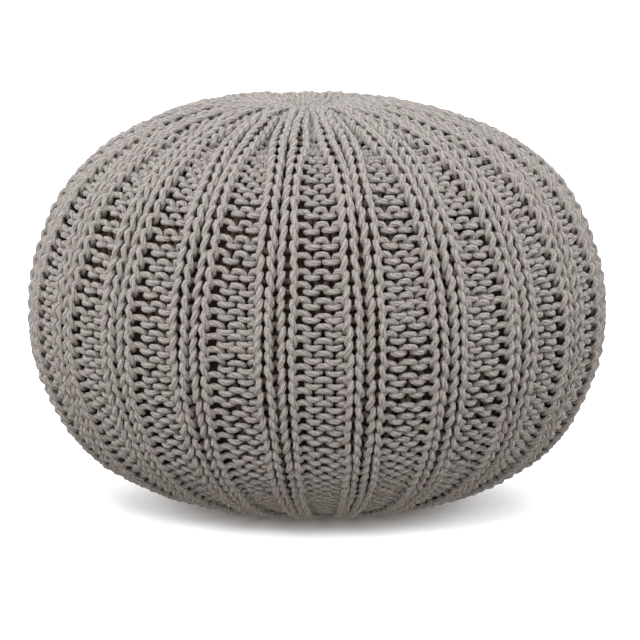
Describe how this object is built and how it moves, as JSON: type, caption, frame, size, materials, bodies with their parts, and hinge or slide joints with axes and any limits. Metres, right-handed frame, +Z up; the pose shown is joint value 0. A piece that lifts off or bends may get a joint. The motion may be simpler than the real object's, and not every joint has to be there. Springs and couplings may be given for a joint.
{
  "type": "knitted pouf",
  "caption": "Round filled floor pouf in a ribbed knit cover, gathered into a dimpled crown and flat where it rests; a low seat or footrest.",
  "frame": {"origin": "middle of the flat seat on the floor, under the centre of the body", "axes": "+Z up through the gathered crown; +X and +Y level, with the viewing side facing -Y"},
  "size_m": [0.506, 0.5052, 0.3559],
  "materials": {
    "yarn": "matt cotton cord, warm grey, knitted in ribs"
  },
  "bodies": {
    "root": {"knit_cover": "yarn"}
  },
  "joints": []
}
